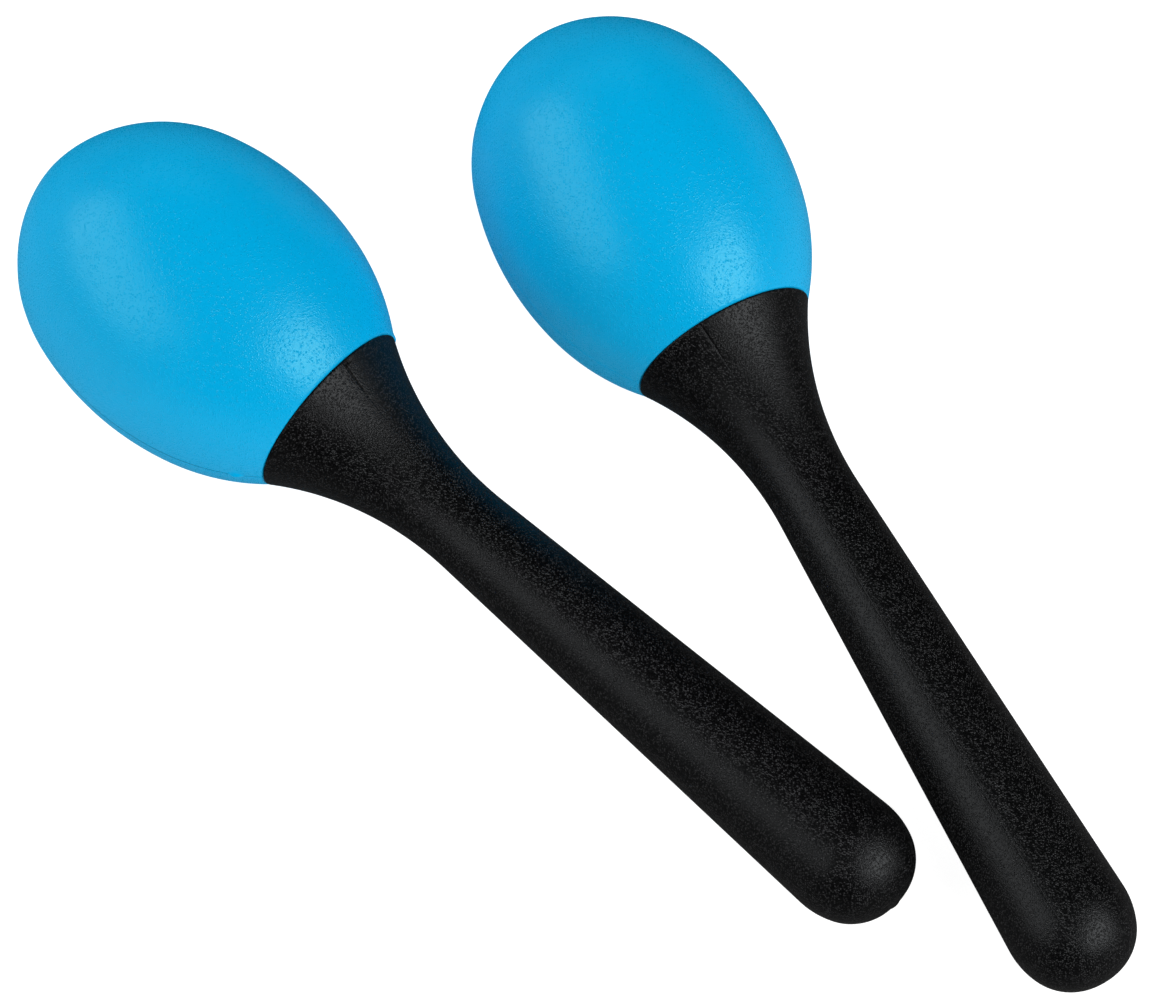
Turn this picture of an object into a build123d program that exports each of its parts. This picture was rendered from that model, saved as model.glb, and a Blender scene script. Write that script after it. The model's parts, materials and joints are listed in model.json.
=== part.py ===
from build123d import *
import os
from math import acos, asin, atan2, cos, degrees, hypot, pi, radians, sin, sqrt, tan

# A pair of plastic maracas lying side by side: egg-shaped sound heads on hollow handles.
# Millimetres, +Z up, floor at Z = 0, origin under the middle of the pair.
# Each maraca is drawn lying along its own +X, from its butt at X = 0 to its crown.
# "Stations" are distances along that axis; "turns" are degrees round an arc from the axis.

# ---- Driving dimensions -------------------------------------------------------------
length = 220.0
collar = 146.6

# Outer skins, as tangent arcs that start at a pole: (radius, turn where the arc starts)
head_arcs = ((23.0, 0.0), (32.9, 21.5), (59.8, 73.6), (48.1, 104.8))
butt_arcs = ((15.1, 0.0), (11.1, 12.3), (16.6, 65.9))
belly_arc = 2
butt_side_arc = 2
handle_taper = 2.28
flare_start = 108.4
flare_radius = 66.0

head_wall = 2.0
handle_wall = 2.2

# Joint between head and handle
sleeve_bore = 15.80
sleeve_wall = 2.0
sleeve_length = 6.0
spigot_radius = 15.75
spigot_wall = 2.0
spigot_length = 5.5
shoulder_depth = 2.0
shoulder_radius = 17.4
shadow_gap = 0.3
shadow_depth = 0.65

# Neck plug, which closes the sound chamber
plug_radius = 15.60
plug_plate = 1.5
plug_skirt_radius = 13.70
plug_skirt_wall = 1.4
plug_skirt_length = 6.5

# Tongue and groove along the edges of the halves
lip_inset = 0.65
lip_thickness = 0.80
lip_height = 0.90
lip_gap = 0.06

# Stiffening ribs across the handle halves
rib_stations = (28.0, 62.0, 96.0)
rib_thickness = 1.6
rib_hole = 2.5
rib_root = 0.5

# Shot inside the head
shot_radius = 2.25
shot_pitch = 4.72
shot_clearance = 0.18
shot_rings = 2

# How the pair lies: where each butt is, which way it points and how far its parts are turned
butt_spot = {"left": (60.9, -89.9), "right": (98.9, -106.3)}
heading = {"left": 138.44, "right": 118.80}
head_roll = {"left": -5.5, "right": 2.0}
handle_roll = {"left": 98.2, "right": 68.0}

big = 400.0


# ---- Skins --------------------------------------------------------------------------
def arc_centres(pole, facing, arcs):
    """Centres of tangent arcs that start at a pole; facing is +1 at the crown and -1 at the butt."""
    x, y = pole - facing * arcs[0][0], 0.0
    centres = [(x, y)]
    for (radius, _), (next_radius, turn) in zip(arcs, arcs[1:]):
        x += facing * (radius - next_radius) * cos(radians(turn))
        y += (radius - next_radius) * sin(radians(turn))
        centres.append((x, y))
    return centres


def arc_point(centre, radius, facing, turn):
    return (centre[0] + facing * radius * cos(radians(turn)), centre[1] + radius * sin(radians(turn)))


def skin_arcs(pole, facing, arcs, inset, last_turn):
    """The skin's arcs, set inwards by inset, and the point where the last one ends."""
    edges = []
    turns = [turn for _, turn in arcs] + [last_turn]
    for (radius, _), centre, start, end in zip(arcs, arc_centres(pole, facing, arcs), turns, turns[1:]):
        points = [arc_point(centre, radius - inset, facing, t) for t in (start, (start + end) / 2, end)]
        edges.append(ThreePointArc(*points))
    return edges, points[-1]


def head_skin(inset, station=collar):
    """The head's skin from its crown to a station."""
    centre_x = arc_centres(length, 1, head_arcs)[-1][0]
    last_turn = degrees(acos((station - centre_x) / (head_arcs[-1][0] - inset)))
    return skin_arcs(length, 1, head_arcs, inset, last_turn)


def flare_centre():
    """Centre of the flare's arc, which the taper runs into without a corner."""
    _, start = skin_arcs(0, -1, butt_arcs, 0, 90 + handle_taper)
    x = flare_start + flare_radius * sin(radians(handle_taper))
    y = start[1] - (flare_start - start[0]) * tan(radians(handle_taper))
    return x, y + flare_radius * cos(radians(handle_taper))


def handle_skin(inset, station=collar):
    """The handle's skin from its butt, along the taper and out through the flare to a station."""
    edges, butt_end = skin_arcs(0, -1, butt_arcs, inset, 90 + handle_taper)
    centre = flare_centre()
    radius = flare_radius + inset
    end_turn = degrees(asin((station - centre[0]) / radius))
    turns = (-handle_taper, (end_turn - handle_taper) / 2, end_turn)
    points = [(centre[0] + radius * sin(radians(t)), centre[1] - radius * cos(radians(t))) for t in turns]
    return edges + [Line(butt_end, points[0]), ThreePointArc(*points)], points[-1]


def between(skin, outer_inset, inner_inset, pole, facing, station=collar):
    """The half section of a shell between two insets of one skin."""
    outer, outer_end = skin(outer_inset, station)
    inner, inner_end = skin(inner_inset, station)
    at_pole = Line((pole - facing * outer_inset, 0), (pole - facing * inner_inset, 0))
    return make_face(outer + inner + [at_pole, Line(outer_end, inner_end)])


def block(x_from, x_to, y_from, y_to):
    """A rectangle of section between two stations and two radii."""
    middle = Pos((x_from + x_to) / 2, (y_from + y_to) / 2)
    return middle * Rectangle(x_to - x_from, y_to - y_from)


# ---- Moulded halves -----------------------------------------------------------------
def below_split(height):
    """The slab just under the split plane Z = 0."""
    return Pos(0, 0, -height / 2) * Box(big * 2, big, height)


def turned_over(shape):
    return Rot(180, 0, 0) * shape


def moulded_halves(section, tongue, groove):
    """Two halves of a shell: one carries a tongue along its edge, the other the groove for it."""
    half = revolve(section, Axis.X, 180)
    tongue_strip = turned_over(revolve(tongue, Axis.X, 180)) & below_split(lip_height)
    groove_strip = turned_over(revolve(groove, Axis.X, 180)) & below_split(lip_height + lip_gap)
    return half + tongue_strip, turned_over(half) - groove_strip


def lip_sections(skin, pole, facing, station):
    """Half sections of the tongue and of the slightly larger groove, inside the wall."""
    groove_end = station - facing * lip_gap
    tongue = between(skin, lip_inset, lip_inset + lip_thickness, pole, facing, station)
    groove = between(skin, lip_inset - lip_gap, lip_inset + lip_thickness + lip_gap, pole, facing, groove_end)
    return tongue, groove


def head_shells():
    section = between(head_skin, 0, head_wall, length, 1)
    section += block(collar, collar + sleeve_length, sleeve_bore, sleeve_bore + sleeve_wall)
    lip_end = collar + sleeve_length / 2
    return moulded_halves(section, *lip_sections(head_skin, length, 1, lip_end))


def taper_radius(station):
    _, start = skin_arcs(0, -1, butt_arcs, 0, 90 + handle_taper)
    return start[1] - (station - start[0]) * tan(radians(handle_taper))


def handle_halves():
    section = between(handle_skin, 0, handle_wall, 0, -1)
    section += block(collar - shoulder_depth, collar, spigot_radius - spigot_wall, shoulder_radius)
    section += block(collar - shoulder_depth, collar + spigot_length, spigot_radius - spigot_wall, spigot_radius)
    section -= block(collar - shadow_gap, collar + shadow_gap, spigot_radius + spigot_wall + shadow_depth, big)
    for station in rib_stations:
        root = taper_radius(station) - handle_wall + rib_root
        section += block(station - rib_thickness / 2, station + rib_thickness / 2, rib_hole, root)
    lip_end = collar - 2 * shoulder_depth
    return moulded_halves(section, *lip_sections(handle_skin, 0, -1, lip_end))


def neck_plug():
    """A plate across the handle's open end, with a skirt that fits in the spigot."""
    seat = collar + spigot_length
    section = block(seat, seat + plug_plate, 0, plug_radius)
    section += block(seat - plug_skirt_length, seat, plug_skirt_radius - plug_skirt_wall, plug_skirt_radius)
    return revolve(section, Axis.X, 360)


# ---- How a maraca lies on the floor -------------------------------------------------
def lying():
    """The tilt, in degrees, and the height of the butt, when belly and butt touch the floor."""
    belly, butt = head_arcs[belly_arc][0], butt_arcs[butt_side_arc][0]
    belly_x, belly_y = arc_centres(length, 1, head_arcs)[belly_arc]
    butt_x, butt_y = arc_centres(0, -1, butt_arcs)[butt_side_arc]
    run, rise = belly_x - butt_x, butt_y - belly_y
    tilt = asin((belly - butt) / hypot(run, rise)) - atan2(rise, run)
    return degrees(tilt), butt_y * cos(tilt) - butt_x * sin(tilt) + butt


tilt_angle, butt_height = lying()


def lie(roll):
    """Rolls a part about its maraca's axis and sets the maraca on the floor, crown end up."""
    return Pos(0, 0, butt_height) * Rot(0, -tilt_angle, 0) * Rot(roll, 0, 0)


def place(side):
    """Carries a lying maraca to its place in the pair."""
    return Pos(*butt_spot[side], 0) * Rot(0, 0, heading[side])


# ---- Shot ---------------------------------------------------------------------------
def head_radius(station, inset):
    """The radius of the head's skin, set in by inset, at a station."""
    for (radius, turn), centre in reversed(list(zip(head_arcs, arc_centres(length, 1, head_arcs)))):
        if station <= centre[0] + (radius - inset) * cos(radians(turn)):
            return centre[1] + sqrt((radius - inset) ** 2 - (station - centre[0]) ** 2)
    return 0.0


def shot_fits(x, y, z):
    """Whether a ball centred here, in a lying maraca, is clear of the head's wall."""
    tilt = radians(tilt_angle)
    station = x * cos(tilt) + (z - butt_height) * sin(tilt)
    across = (z - butt_height) * cos(tilt) - x * sin(tilt)
    return hypot(across, y) < head_radius(station, head_wall + shot_radius + shot_clearance)


def shot_limit(x, y, way):
    """How low (way -1) or high (way +1) a ball's centre can go above a point of the floor."""
    middle = butt_height + x * tan(radians(tilt_angle))
    reach, step = 0.0, big
    while step > 1e-6:
        step /= 2
        if shot_fits(x, y, middle + way * (reach + step)):
            reach += step
    return middle + way * reach


def shot_spots():
    """Balls packed in hexagonal rings round the lowest point of the head, seen from above."""
    tilt = radians(tilt_angle)
    belly_x, belly_y = arc_centres(length, 1, head_arcs)[belly_arc]
    radius = head_arcs[belly_arc][0] - head_wall
    lowest = (belly_x - radius * sin(tilt)) * cos(tilt) + (belly_y + radius * cos(tilt)) * sin(tilt)
    spots = [(lowest, 0.0)]
    for ring in range(1, shot_rings + 1):
        corners = [(ring * shot_pitch * cos(k * pi / 3), ring * shot_pitch * sin(k * pi / 3)) for k in range(7)]
        for (x1, y1), (x2, y2) in zip(corners, corners[1:]):
            for step in range(ring):
                share = step / ring
                spots.append((lowest + x1 + (x2 - x1) * share, y1 + (y2 - y1) * share))
    return spots


# ---- The pair -----------------------------------------------------------------------
def maraca(side):
    """Every piece of one maraca, by name, where it lies in the pair."""
    head_tongue, head_groove = head_shells()
    handle_tongue, handle_groove = handle_halves()
    pieces = {
        "head_upper_shell": lie(head_roll[side]) * head_tongue,
        "head_lower_shell": lie(head_roll[side]) * head_groove,
        "handle_tongue_half": lie(handle_roll[side]) * handle_tongue,
        "handle_groove_half": lie(handle_roll[side]) * handle_groove,
        "neck_plug": lie(0) * neck_plug(),
    }
    for number, (x, y) in enumerate(shot_spots(), start=1):
        pieces[f"shot_{number:02d}"] = Pos(x, y, shot_limit(x, y, -1)) * Sphere(shot_radius)
    return {f"{side}_{name}": place(side) * piece for name, piece in pieces.items()}


def main():
    os.makedirs("parts", exist_ok=True)
    pieces = {**maraca("left"), **maraca("right")}
    box = Compound([piece.solids()[0] for piece in pieces.values()]).bounding_box()
    to_origin = Pos(-box.center().X, -box.center().Y, -box.min.Z)
    for name, piece in pieces.items():
        solid = (to_origin * piece).solids()[0]
        solid.label = name
        export_step(solid, f"parts/{name}.step")


main()
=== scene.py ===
import json
import math
import bmesh
import bpy
from mathutils import Matrix, Vector, noise


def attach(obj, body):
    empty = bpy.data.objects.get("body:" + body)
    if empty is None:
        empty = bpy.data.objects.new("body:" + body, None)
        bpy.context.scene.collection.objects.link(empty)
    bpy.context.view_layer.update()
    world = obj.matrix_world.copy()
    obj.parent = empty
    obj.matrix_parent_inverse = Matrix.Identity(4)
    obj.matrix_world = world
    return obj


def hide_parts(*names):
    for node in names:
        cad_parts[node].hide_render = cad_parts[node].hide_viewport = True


# A pair of plastic maracas: sky-blue egg-shaped heads and black tapered handles, with a fine raised grain.
# Metres, in the frame of the CAD model. Each visible shell is turned afresh here, with its seams,
# rims and moulding marks; the plugs and the shot inside are the CAD model's own.

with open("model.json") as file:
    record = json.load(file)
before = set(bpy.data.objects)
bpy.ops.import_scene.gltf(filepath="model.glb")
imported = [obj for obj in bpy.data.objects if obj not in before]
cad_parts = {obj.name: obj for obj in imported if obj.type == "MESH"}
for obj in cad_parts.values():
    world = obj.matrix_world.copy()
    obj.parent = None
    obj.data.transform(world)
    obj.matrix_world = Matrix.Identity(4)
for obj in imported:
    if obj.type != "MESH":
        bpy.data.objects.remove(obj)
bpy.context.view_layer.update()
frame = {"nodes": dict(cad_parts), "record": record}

MM = 0.001

# ---- Outline of one maraca: stations along its axis from the butt, radii from the axis --------
# An arc is its radius, and how many degrees the skin has turned since the pole where the arc begins.
# The grip narrows from the butt by TAPER degrees on each side, then flares out to the collar.
LENGTH = 220.0 * MM
COLLAR = 146.6 * MM
GRIP_STATION = 60.0 * MM
HEAD_ARCS = ((23.0 * MM, 0.0), (32.9 * MM, 21.5), (59.8 * MM, 73.6), (48.1 * MM, 104.8))
BUTT_ARCS = ((15.1 * MM, 0.0), (11.1 * MM, 12.3), (16.6 * MM, 65.9))
TAPER = 2.28
FLARE_START = 108.4 * MM
FLARE_RADIUS = 66.0 * MM
HEAD_WALL = 2.0 * MM
HANDLE_WALL = 2.2 * MM
SLEEVE_BORE = 15.80 * MM
SLEEVE_OUTSIDE = 17.80 * MM
SLEEVE_LENGTH = 6.0 * MM
SPIGOT_RADIUS = 15.75 * MM
SPIGOT_BORE = 13.75 * MM
SPIGOT_LENGTH = 5.5 * MM
SHOULDER_DEPTH = 2.0 * MM
SHADOW_GAP = 0.3 * MM
SHADOW_RADIUS = 18.40 * MM
RIB_STATIONS = (28.0 * MM, 62.0 * MM, 96.0 * MM)
RIB_HALF = 0.8 * MM
RIB_HOLE = 2.5 * MM
HEAD_RIM_ROUND = 0.35 * MM
HANDLE_RIM_ROUND = 0.175 * MM

# How far the parting planes are turned about the axis, in degrees
HEAD_ROLL = {"left": -5.5, "right": 2.0}
HANDLE_ROLL = {"left": 98.2, "right": 68.0}

# How many of the steps beside a head half's edge take the darker blue of painted shade along the weld line
WELD_SHADE_STEPS = {"left": 3, "right": 0}

# Mesh steps: along the outline, and round the axis as distances from a half's edge and as angles
FINE = 0.28 * MM
COARSE = 0.80 * MM
FINE_HEAD_END = 8.0 * MM
FINE_HANDLE_END = 10.0 * MM
EDGE_STEPS = [step * MM for step in (0.0, 0.05, 0.10, 0.16, 0.24, 0.34, 0.50, 0.75, 1.1, 1.6, 2.4)]
HEAD_EDGE_RADIUS = 30.0 * MM
HANDLE_EDGE_RADIUS = 12.0 * MM
HEAD_DEGREES = 2.0
HANDLE_DEGREES = 4.0
CREASE_DEGREES = 35


def arc_centres(pole, facing, arcs):
    """Centres of tangent arcs that start at a pole; facing is +1 at the crown and -1 at the butt."""
    x, y = pole - facing * arcs[0][0], 0.0
    centres = [(x, y)]
    for (radius, _), (next_radius, turn) in zip(arcs, arcs[1:]):
        x += facing * (radius - next_radius) * math.cos(math.radians(turn))
        y += (radius - next_radius) * math.sin(math.radians(turn))
        centres.append((x, y))
    return centres


def skin_points(pole, facing, arcs, inset, last_turn, step=COARSE):
    """Points along tangent arcs from a pole, set inwards by inset."""
    points = [(pole - facing * inset, 0.0)]
    turns = [turn for _, turn in arcs] + [last_turn]
    for (radius, _), centre, start, end in zip(arcs, arc_centres(pole, facing, arcs), turns, turns[1:]):
        reach = radius - inset
        count = max(2, math.ceil(reach * math.radians(end - start) / step))
        for k in range(1, count + 1):
            turn = math.radians(start + (end - start) * k / count)
            points.append((centre[0] + facing * reach * math.cos(turn), centre[1] + reach * math.sin(turn)))
    return points


def head_skin(inset, station):
    """The head's skin from its crown to a station."""
    centre_x = arc_centres(LENGTH, 1, HEAD_ARCS)[-1][0]
    last_turn = math.degrees(math.acos((station - centre_x) / (HEAD_ARCS[-1][0] - inset)))
    return skin_points(LENGTH, 1, HEAD_ARCS, inset, last_turn)


def handle_skin(inset, station):
    """The handle's skin from its butt, along the taper and out through the flare to a station."""
    butt = skin_points(0.0, -1, BUTT_ARCS, inset, 90 + TAPER)
    outer_end = skin_points(0.0, -1, BUTT_ARCS, 0.0, 90 + TAPER)[-1]
    slope = math.tan(math.radians(TAPER))
    centre_x = FLARE_START + FLARE_RADIUS * math.sin(math.radians(TAPER))
    centre_y = outer_end[1] - (FLARE_START - outer_end[0]) * slope
    centre_y += FLARE_RADIUS * math.cos(math.radians(TAPER))
    radius = FLARE_RADIUS + inset
    flare_turn = math.asin((station - centre_x) / radius)
    first = -math.radians(TAPER)
    count = math.ceil(radius * (flare_turn - first) / COARSE)
    turns = [first + (flare_turn - first) * k / count for k in range(count + 1)]
    flare = [(centre_x + radius * math.sin(t), centre_y - radius * math.cos(t)) for t in turns]
    taper_count = math.ceil((flare[0][0] - butt[-1][0]) / COARSE)
    taper = [lerp(butt[-1], flare[0], k / taper_count) for k in range(1, taper_count)]
    return butt + taper + flare


def lerp(a, b, share):
    return tuple(p + (q - p) * share for p, q in zip(a, b))


def run(a, b, step=COARSE):
    """Points from just after a to b."""
    count = max(1, math.ceil(math.dist(a, b) / step))
    return [lerp(a, b, k / count) for k in range(1, count + 1)]


def rounded(before, corner, after, steps=5):
    """A small round from before to after, with corner as its control point."""
    out = []
    for k in range(1, steps + 1):
        t = k / steps
        out.append(lerp(lerp(before, corner, t), lerp(corner, after, t), t))
    return out


def path(start, corners):
    """Points from just after the start through every corner."""
    out = []
    for a, b in zip([start] + corners, corners):
        out += run(a, b)
    return out


def with_round_rim(outer, station, size):
    """An outer skin whose last corner, at a station, is rounded inwards over a size."""
    corner = outer.pop()
    while math.dist(outer[-1], corner) < size:
        outer.pop()
    return outer + rounded(outer[-1], corner, (station, corner[1] - size))


def refine_end(points, length, step):
    """The same line with its last stretch cut into finer steps."""
    cut = len(points) - 1
    while cut > 0 and math.dist(points[cut - 1], points[-1]) < length:
        cut -= 1
    out = points[: cut + 1]
    for a, b in zip(points[cut:], points[cut + 1:]):
        out += run(a, b, step)
    return out


def head_section():
    """The head wall's closed half section, from the crown outside round to the crown inside."""
    outer = refine_end(head_skin(0.0, COLLAR), FINE_HEAD_END, FINE)
    outer = with_round_rim(outer, COLLAR, HEAD_RIM_ROUND)
    centre = arc_centres(LENGTH, 1, HEAD_ARCS)[-1]
    reach = HEAD_ARCS[-1][0] - HEAD_WALL
    root = centre[0] - math.sqrt(reach ** 2 - (SLEEVE_OUTSIDE - centre[1]) ** 2)
    sleeve_end = COLLAR + SLEEVE_LENGTH
    corners = [(COLLAR, SLEEVE_BORE), (sleeve_end, SLEEVE_BORE), (sleeve_end, SLEEVE_OUTSIDE),
               (root, SLEEVE_OUTSIDE)]
    mouth = path(outer[-1], corners)[:-1]
    return outer + mouth + head_skin(HEAD_WALL, root)[::-1], len(outer)


def handle_section():
    """The handle wall's closed half section, from the butt outside round to the butt inside."""
    rim_station = COLLAR - SHADOW_GAP
    outer = refine_end(handle_skin(0.0, rim_station), FINE_HANDLE_END, FINE)
    outer = with_round_rim(outer, rim_station, HANDLE_RIM_ROUND)
    spigot_end = COLLAR + SPIGOT_LENGTH
    corners = [(COLLAR, SHADOW_RADIUS), (COLLAR, SPIGOT_RADIUS), (spigot_end, SPIGOT_RADIUS),
               (spigot_end, SPIGOT_BORE), (COLLAR - SHOULDER_DEPTH, SPIGOT_BORE)]
    mouth = run(outer[-1], (rim_station, SHADOW_RADIUS), FINE)
    mouth += path(mouth[-1], corners)
    inner = handle_skin(HANDLE_WALL, COLLAR - SHOULDER_DEPTH)[::-1]
    for station in RIB_STATIONS:
        inner = with_rib(inner, station)
    return outer + mouth + inner, len(outer)


def with_rib(inner, station):
    """The inner skin, from mouth to butt, with a rib standing in from it at a station."""
    near, far = station + RIB_HALF, station - RIB_HALF
    before = [p for p in inner if p[0] > near]
    after = [p for p in inner if p[0] < far]
    root = (near, before[-1][1])
    rib = [root] + path(root, [(near, RIB_HOLE), (far, RIB_HOLE), (far, after[0][1])])
    return before + rib + after


# ---- Turning a half shell ---------------------------------------------------------------------
def half_turn(reference_radius, coarse_degrees):
    """Angles from 0 to 180 degrees, close together at both edges of the half."""
    near = [math.degrees(offset / reference_radius) for offset in EDGE_STEPS]
    count = math.ceil((180 - 2 * near[-1]) / coarse_degrees)
    middle = [near[-1] + (180 - 2 * near[-1]) * k / count for k in range(1, count)]
    return [math.radians(a) for a in near + middle + [180 - a for a in reversed(near)]]


def directions(points):
    """Unit directions of a half section's line, on its way from pole to pole."""
    out = []
    for k in range(len(points)):
        a, b = points[max(k - 1, 0)], points[min(k + 1, len(points) - 1)]
        dx, dy = b[0] - a[0], b[1] - a[1]
        size = math.hypot(dx, dy) or 1.0
        out.append((dx / size, dy / size))
    return out


def turned_half(name, section, angles, relief, facing, matrix, shade_steps=0):
    """A closed half shell: the section turned through the angles, with relief on its outer skin."""
    points, count_outer = section
    ways = directions(points)
    verts, rows = [], []
    poles = (0, len(points) - 1)
    for angle in angles:
        edge_angle = min(angle, math.pi - angle)
        row = []
        for k, (x, y) in enumerate(points):
            if k in poles and rows:
                row.append(rows[0][k])
                continue
            if k < count_outer:
                lift = relief(x, angle, y * edge_angle)
                x += facing * ways[k][1] * lift
                y -= facing * ways[k][0] * lift
            if k in poles:
                y = 0.0
            row.append(len(verts))
            verts.append((x, y * math.cos(angle), y * math.sin(angle)))
        rows.append(row)
    faces = []
    for a, b in zip(rows, rows[1:]):
        for k in range(len(points) - 1):
            loop = [a[k], a[k + 1], b[k + 1], b[k]]
            faces.append([v for n, v in enumerate(loop) if v not in loop[:n]])
    faces.append(rows[0] + rows[-1][-2:0:-1])
    mesh = bpy.data.meshes.new(name)
    mesh.from_pydata(verts, [], faces)
    mesh.transform(matrix)
    # Outer faces of the first steps beside each edge take the second material, a darker blue painted as the
    # weld groove's shade
    for step in range(shade_steps):
        for row in (step, len(rows) - 2 - step):
            for k in range(count_outer - 1):
                mesh.polygons[row * (len(points) - 1) + k].material_index = 1
    tidy_mesh(mesh)
    piece = bpy.data.objects.new(name, mesh)
    bpy.context.scene.collection.objects.link(piece)
    return piece


def tidy_mesh(mesh):
    """Turns every face outwards and shades the skin smooth, with sharp creases kept."""
    work = bmesh.new()
    work.from_mesh(mesh)
    bmesh.ops.recalc_face_normals(work, faces=work.faces)
    for face in work.faces:
        face.smooth = len(face.verts) <= 4
    for edge in work.edges:
        edge.smooth = edge.calc_face_angle(0.0) < math.radians(CREASE_DEGREES)
    work.to_mesh(mesh)
    work.free()


# ---- Relief of the skins, in metres above the plain outline -----------------------------------
# The weld line of a head: a valley at the edge of each half, and a lip beside it on the upper half
WELD_DEPTH = 0.10 * MM
WELD_WIDTH = 0.20 * MM
LIP_HEIGHT = 0.05 * MM
LIP_EDGE = 0.40 * MM
LIP_WIDTH = 0.22 * MM

# The head's slow unevenness: its height, its steps along and round the axis, and where it fades at an edge
UNEVEN_HEIGHT = 0.03 * MM
UNEVEN_ALONG = 70
UNEVEN_ROUND = 1.6
UNEVEN_FADE = 1.0 * MM
UNEVEN_SEED = {"left": 3.0, "right": 17.0}

# The seam of a handle: its depth and width along the grip, and what both gain near the collar
SEAM_DEPTH = 0.03 * MM
SEAM_DEPTH_GAIN = 0.25 * MM
SEAM_WIDTH = 0.14 * MM
SEAM_WIDTH_GAIN = 0.22 * MM
SEAM_FADE = 12.0 * MM

# Marks of the left maraca: height, station, reach along the axis, then place and reach across it,
# as distances from the half's edge for the first three and as angles for the two at the butt
NIB = (0.50 * MM, 150.6 * MM, 1.6 * MM, 0.35 * MM, 0.35 * MM)
FLASH = (0.45 * MM, COLLAR, 1.4 * MM, 0.0, 0.8 * MM)
NOTCH = (-0.30 * MM, COLLAR - 0.9 * MM, 0.45 * MM, 0.8 * MM, 1.3 * MM)
BUTT_LIP = (0.18 * MM, 0.7 * MM, 1.6 * MM, math.pi, 0.6)
BUTT_HOLLOW = (-0.22 * MM, 2.4 * MM, 4.0 * MM, 0.4, 0.9)


def bump(distance, width):
    """1 at no distance, falling smoothly to 0 at width."""
    share = min(abs(distance) / width, 1.0)
    return (1 - share * share) ** 2


def mark(shape, station, across):
    """The lift of one small mark at a place on the skin."""
    height, middle, length, offset, width = shape
    return height * bump(station - middle, length) * bump(across - offset, width)


def head_relief(side, upper):
    """The weld line along a head half, the left one's nib and flash, and the skin's slow unevenness."""

    def relief(station, angle, edge):
        lift = -WELD_DEPTH * bump(edge, WELD_WIDTH)
        if upper:
            lift += LIP_HEIGHT * bump(edge - LIP_EDGE, LIP_WIDTH)
        if upper and side == "left":
            lift += mark(NIB if angle < math.pi / 2 else FLASH, station, edge)
        place = Vector((station * UNEVEN_ALONG, angle * UNEVEN_ROUND, UNEVEN_SEED[side]))
        return lift + UNEVEN_HEIGHT * noise.noise(place) * min(edge / UNEVEN_FADE, 1.0)
    return relief


def handle_relief(side, tongue):
    """The seam along a handle half, and the left handle's notch at the collar and step at the butt."""

    def relief(station, angle, edge):
        near_collar = bump(station - COLLAR, SEAM_FADE)
        width = SEAM_WIDTH + SEAM_WIDTH_GAIN * near_collar
        lift = -(SEAM_DEPTH + SEAM_DEPTH_GAIN * near_collar) * bump(edge, width)
        if side == "left" and tongue:
            lift += mark(BUTT_LIP, station, angle)
        if side == "left" and tongue and angle < math.pi / 2:
            lift += mark(NOTCH, station, edge)
        if side == "left" and not tongue:
            lift += mark(BUTT_HOLLOW, station, angle)
        return lift
    return relief


# ---- Materials --------------------------------------------------------------------------------
# The grain: pimples on a softly uneven skin, their tops a lighter colour that is partly the grain's own tone
# and partly painted sparkle. The spread, and the flat top, are shares of the spacing.
PIMPLE_TOP = 0.05
HEAD_GRAIN = {
    "spacing": 0.42 * MM, "spread": 0.62, "height": 0.08 * MM,
    "ripple": 0.8 * MM, "ripple_height": 0.06 * MM,
}
HANDLE_GRAIN = {
    "spacing": 0.36 * MM, "spread": 0.60, "height": 0.15 * MM,
    "ripple": 0.35 * MM, "ripple_height": 0.08 * MM,
}
BLUE_GLOSS = (0.38, 0.84, 0.65)
BLACK_GLOSS = (0.93, 0.97, 1.0)
STEEL_COLOUR = (0.55, 0.55, 0.56)
STEEL_ROUGHNESS = (0.2, 0.4)
STEEL_SCRATCHES = 0.5 * MM


def new_material(name, colour, roughness):
    material = bpy.data.materials.new(name)
    material.use_nodes = True
    shader = material.node_tree.nodes["Principled BSDF"]
    shader.inputs["Base Color"].default_value = (*colour, 1.0)
    shader.inputs["Roughness"].default_value = roughness
    return material, material.node_tree.nodes, material.node_tree.links, shader


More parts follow.
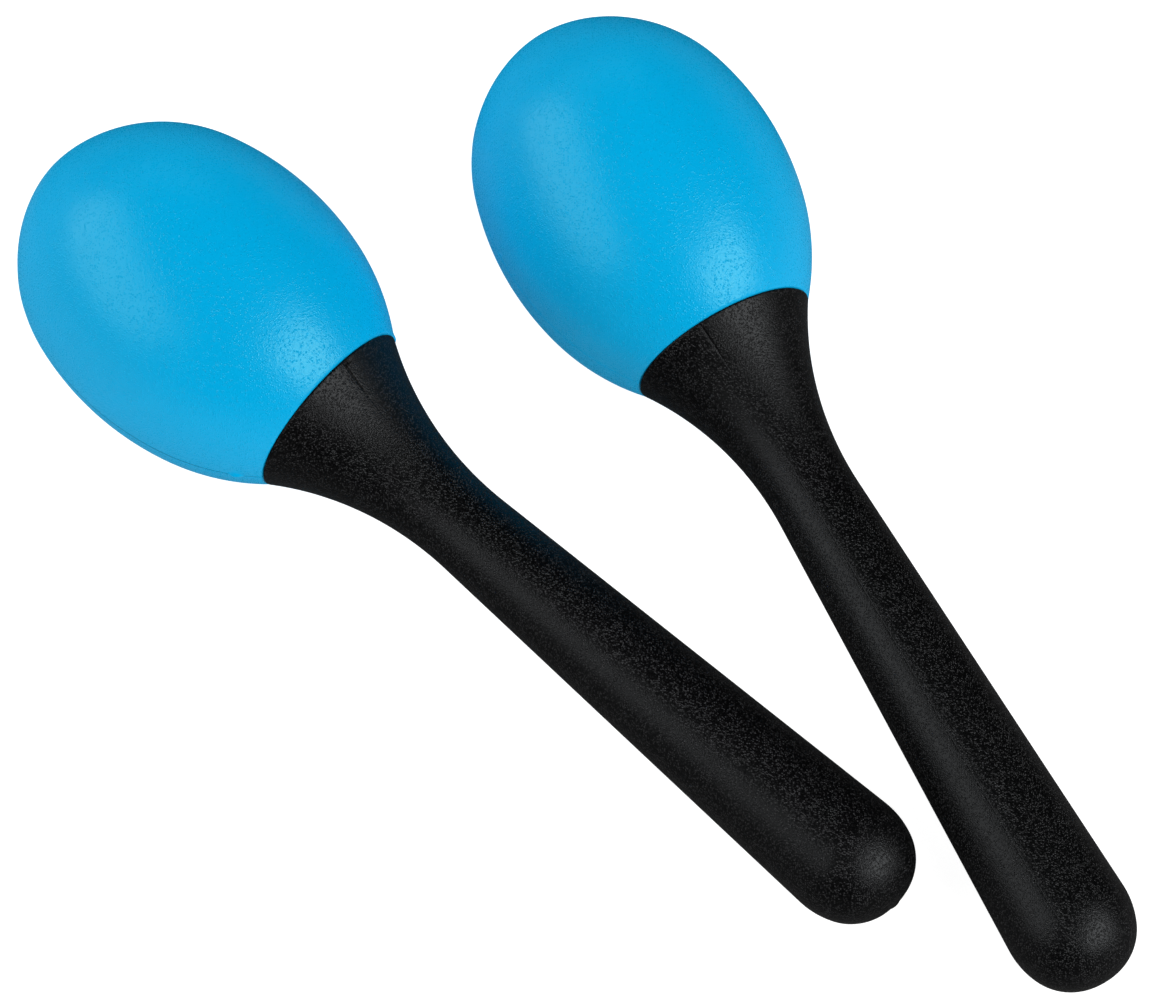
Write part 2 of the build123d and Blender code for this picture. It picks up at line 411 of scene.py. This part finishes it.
def moulded_plastic(name, hollows, tops_tone_and_sparkle, roughness, specular, tint, grain):
    """Plastic with a moulded-in grain: shiny pimples of uneven height on a softly uneven, duller skin, their
    tops coloured lighter, part tone and part painted sparkle.
    """
    material, nodes, links, shader = new_material(name, hollows, roughness[0])
    shader.inputs["Specular IOR Level"].default_value = specular
    shader.inputs["Specular Tint"].default_value = (*tint, 1.0)
    place = nodes.new("ShaderNodeTexCoord")
    cells = nodes.new("ShaderNodeTexVoronoi")
    cells.inputs["Scale"].default_value = 1 / grain["spacing"]
    pimple = nodes.new("ShaderNodeMapRange")
    pimple.interpolation_type = "SMOOTHSTEP"
    pimple.inputs["From Min"].default_value = PIMPLE_TOP
    pimple.inputs["From Max"].default_value = grain["spread"]
    pimple.inputs["To Min"].default_value = 1.0
    pimple.inputs["To Max"].default_value = 0.0
    parts = nodes.new("ShaderNodeSeparateColor")
    uneven = nodes.new("ShaderNodeMath")
    uneven.operation = "MULTIPLY"
    # Pimple tops lighter than the hollows: partly the grain's tone, partly painted sparkle
    shade = nodes.new("ShaderNodeValToRGB")
    shade.color_ramp.elements[0].color = (*hollows, 1.0)
    shade.color_ramp.elements[1].color = (*tops_tone_and_sparkle, 1.0)
    polish = nodes.new("ShaderNodeMapRange")
    polish.inputs["To Min"].default_value = roughness[0]
    polish.inputs["To Max"].default_value = roughness[1]
    skin = nodes.new("ShaderNodeTexNoise")
    skin.inputs["Scale"].default_value = 1 / grain["ripple"]
    skin.inputs["Detail"].default_value = 2.0
    low = nodes.new("ShaderNodeBump")
    low.inputs["Distance"].default_value = grain["ripple_height"]
    high = nodes.new("ShaderNodeBump")
    high.inputs["Distance"].default_value = grain["height"]
    links.new(place.outputs["Object"], cells.inputs["Vector"])
    links.new(place.outputs["Object"], skin.inputs["Vector"])
    links.new(cells.outputs["Distance"], pimple.inputs["Value"])
    links.new(cells.outputs["Color"], parts.inputs["Color"])
    links.new(pimple.outputs["Result"], uneven.inputs[0])
    links.new(parts.outputs["Red"], uneven.inputs[1])
    links.new(uneven.outputs["Value"], shade.inputs["Fac"])
    links.new(shade.outputs["Color"], shader.inputs["Base Color"])
    links.new(uneven.outputs["Value"], polish.inputs["Value"])
    links.new(polish.outputs["Result"], shader.inputs["Roughness"])
    links.new(skin.outputs["Fac"], low.inputs["Height"])
    links.new(uneven.outputs["Value"], high.inputs["Height"])
    links.new(low.outputs["Normal"], high.inputs["Normal"])
    links.new(high.outputs["Normal"], shader.inputs["Normal"])
    return material


def steel():
    """Finely scratched steel for the shot."""
    material, nodes, links, shader = new_material("shot_steel", STEEL_COLOUR, STEEL_ROUGHNESS[0])
    shader.inputs["Metallic"].default_value = 1.0
    place = nodes.new("ShaderNodeTexCoord")
    scratches = nodes.new("ShaderNodeTexNoise")
    scratches.inputs["Scale"].default_value = 1 / STEEL_SCRATCHES
    links.new(place.outputs["Object"], scratches.inputs["Vector"])
    shade = nodes.new("ShaderNodeMapRange")
    shade.inputs["To Min"].default_value = STEEL_ROUGHNESS[0]
    shade.inputs["To Max"].default_value = STEEL_ROUGHNESS[1]
    links.new(scratches.outputs["Fac"], shade.inputs["Value"])
    links.new(shade.outputs["Result"], shader.inputs["Roughness"])
    return material


BLUE = moulded_plastic(
    "sky_blue_plastic", hollows=(0.0, 0.364, 0.684), tops_tone_and_sparkle=(0.0, 0.372, 0.696),
    roughness=(0.28, 0.25), specular=0.38, tint=BLUE_GLOSS, grain=HEAD_GRAIN,
)
# Darker blue along a weld line: painted shade of its groove
WELD_PAINTED_SHADE = moulded_plastic(
    "weld_line_painted_shade", hollows=(0.0, 0.05, 0.13), tops_tone_and_sparkle=(0.0, 0.06, 0.14),
    roughness=(0.28, 0.25), specular=0.15, tint=BLUE_GLOSS, grain=HEAD_GRAIN,
)
# Black whose pimple tops are far lighter than its hollows: painted sparkle, in part the grain's tone
BLACK = moulded_plastic(
    "black_plastic", hollows=(0.0004, 0.0004, 0.0005), tops_tone_and_sparkle=(0.036, 0.036, 0.037),
    roughness=(0.38, 0.22), specular=0.20, tint=BLACK_GLOSS, grain=HANDLE_GRAIN,
)
STEEL = steel()


# ---- The pair -----------------------------------------------------------------------------------
mounts = {mount["name"]: mount for mount in frame["record"]["mounts"]}


def axis_matrix(side, roll):
    """Carries a maraca drawn along its own X axis to where the CAD model has it."""
    mount = mounts[f"{side}_grip"]
    along = Vector(mount["axis"]).normalized()
    across = Vector((0, 0, 1)).cross(along).normalized()
    up = along.cross(across)
    butt = Vector(mount["pos_m"]) - along * GRIP_STATION
    turn = Matrix((along, across, up)).transposed().to_4x4()
    return Matrix.Translation(butt) @ turn @ Matrix.Rotation(math.radians(roll), 4, "X")


def dress(piece, side, node, material):
    """Gives a shell its finish and puts it in the place of a CAD node."""
    piece.data.materials.append(material)
    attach(piece, f"{side}_maraca")
    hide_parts(f"{side}_{node}")


def make_head(side):
    """Both halves of a head; the lower one lies half a turn from the upper one."""
    angles = half_turn(HEAD_EDGE_RADIUS, HEAD_DEGREES)
    for node, upper in (("head_upper_shell", True), ("head_lower_shell", False)):
        matrix = axis_matrix(side, HEAD_ROLL[side] + (0 if upper else 180))
        relief = head_relief(side, upper)
        name = f"{side}_{node}_skin"
        piece = turned_half(name, head_section(), angles, relief, 1, matrix, WELD_SHADE_STEPS[side])
        dress(piece, side, node, BLUE)
        # The second material: painted weld-line shade on the faces beside each edge
        if WELD_SHADE_STEPS[side]:
            piece.data.materials.append(WELD_PAINTED_SHADE)


def make_handle(side):
    """Both halves of a handle, half a turn from each other."""
    angles = half_turn(HANDLE_EDGE_RADIUS, HANDLE_DEGREES)
    for node, tongue in (("handle_tongue_half", True), ("handle_groove_half", False)):
        matrix = axis_matrix(side, HANDLE_ROLL[side] + (0 if tongue else 180))
        relief = handle_relief(side, tongue)
        name = f"{side}_{node}_skin"
        piece = turned_half(name, handle_section(), angles, relief, -1, matrix)
        dress(piece, side, node, BLACK)


for side in ("left", "right"):
    make_head(side)
    make_handle(side)

for name, node in frame["nodes"].items():
    if "shot" in name or "plug" in name:
        node.data.materials.clear()
        node.data.materials.append(STEEL if "shot" in name else BLACK)


# ---- Stage, lights and camera -------------------------------------------------------------------
LAMP_ELEVATION = 35.0
LAMP_DISTANCE = 1.4
PAPER_ROUGHNESS = 0.9
CAMERA_ELEVATION = 63.0
CAMERA_AIM = Vector((1.94, 9.83, 0.0)) * MM
CAMERA_DISTANCE = 1.1192
CAMERA_LENS = 176.75
CAMERA_SENSOR = 36.0


def make_sheet(name, width, depth, centre, height, grey, glow):
    """A plain level sheet of paper."""
    bpy.ops.mesh.primitive_plane_add(size=1.0, location=(*centre, height))
    sheet = bpy.context.object
    sheet.name = name
    sheet.scale = (width, depth, 1.0)
    material, _, _, shader = new_material(name + "_paper", (grey, grey, grey), PAPER_ROUGHNESS)
    shader.inputs["Emission Strength"].default_value = glow
    sheet.data.materials.append(material)
    return sheet


def make_floor():
    """A white floor, and a dark card on it that only glossy reflections see, so that low sides stay dark."""
    white = make_sheet(
        "floor", width=2.4, depth=2.4, centre=(0.0, 0.0), height=-0.1 * MM, grey=0.38, glow=0.96,
    )
    white.visible_glossy = False
    card = make_sheet(
        "grey_card", width=0.60, depth=0.36, centre=(0.0, -0.08), height=0.0, grey=0.10, glow=0.0,
    )
    card.visible_camera = False
    card.visible_diffuse = False
    card.visible_shadow = False


def softbox(name, azimuth, width, height, radiance):
    """A soft rectangular light aimed at the object; azimuth turns clockwise from +Y, seen from above."""
    a, e = math.radians(azimuth), math.radians(LAMP_ELEVATION)
    place = Vector((math.sin(a) * math.cos(e), math.cos(a) * math.cos(e), math.sin(e))) * LAMP_DISTANCE
    data = bpy.data.lights.new(name, "AREA")
    data.shape = "RECTANGLE"
    data.size, data.size_y = width, height
    data.energy = radiance * width * height * math.pi
    lamp = bpy.data.objects.new(name, data)
    lamp.location = place
    lamp.rotation_mode = "QUATERNION"
    lamp.rotation_quaternion = place.to_track_quat("Z", "Y")
    bpy.context.scene.collection.objects.link(lamp)
    return lamp


def make_backdrop(level):
    """A plain surround that is seen past the floor and lights nothing."""
    world = bpy.data.worlds.new("backdrop")
    bpy.context.scene.world = world
    world.use_nodes = True
    world.node_tree.nodes["Background"].inputs["Color"].default_value = (level, level, level, 1)
    world.cycles_visibility.diffuse = False
    world.cycles_visibility.glossy = False


def make_camera():
    """A long lens that looks down at the pair along +Y."""
    elevation = math.radians(CAMERA_ELEVATION)
    data = bpy.data.cameras.new("camera")
    data.sensor_width = CAMERA_SENSOR
    data.lens = CAMERA_LENS
    data.clip_start, data.clip_end = 0.05, 50.0
    camera = bpy.data.objects.new("camera", data)
    camera.location = CAMERA_AIM + Vector((0, -math.cos(elevation), math.sin(elevation))) * CAMERA_DISTANCE
    camera.rotation_euler = (math.pi / 2 - elevation, 0, 0)
    bpy.context.scene.collection.objects.link(camera)
    bpy.context.scene.camera = camera


make_floor()
make_backdrop(1.0)
softbox("left_softbox", azimuth=-92, width=1.9, height=0.95, radiance=3.0)
softbox("left_fill", azimuth=-92, width=1.9, height=0.95, radiance=0.5).visible_glossy = False
softbox("right_softbox", azimuth=122, width=1.1, height=0.8, radiance=7.6)
softbox("rear_fill", azimuth=-12, width=1.0, height=0.6, radiance=4.2).visible_glossy = False
make_camera()
bpy.context.scene.view_settings.view_transform = "Standard"
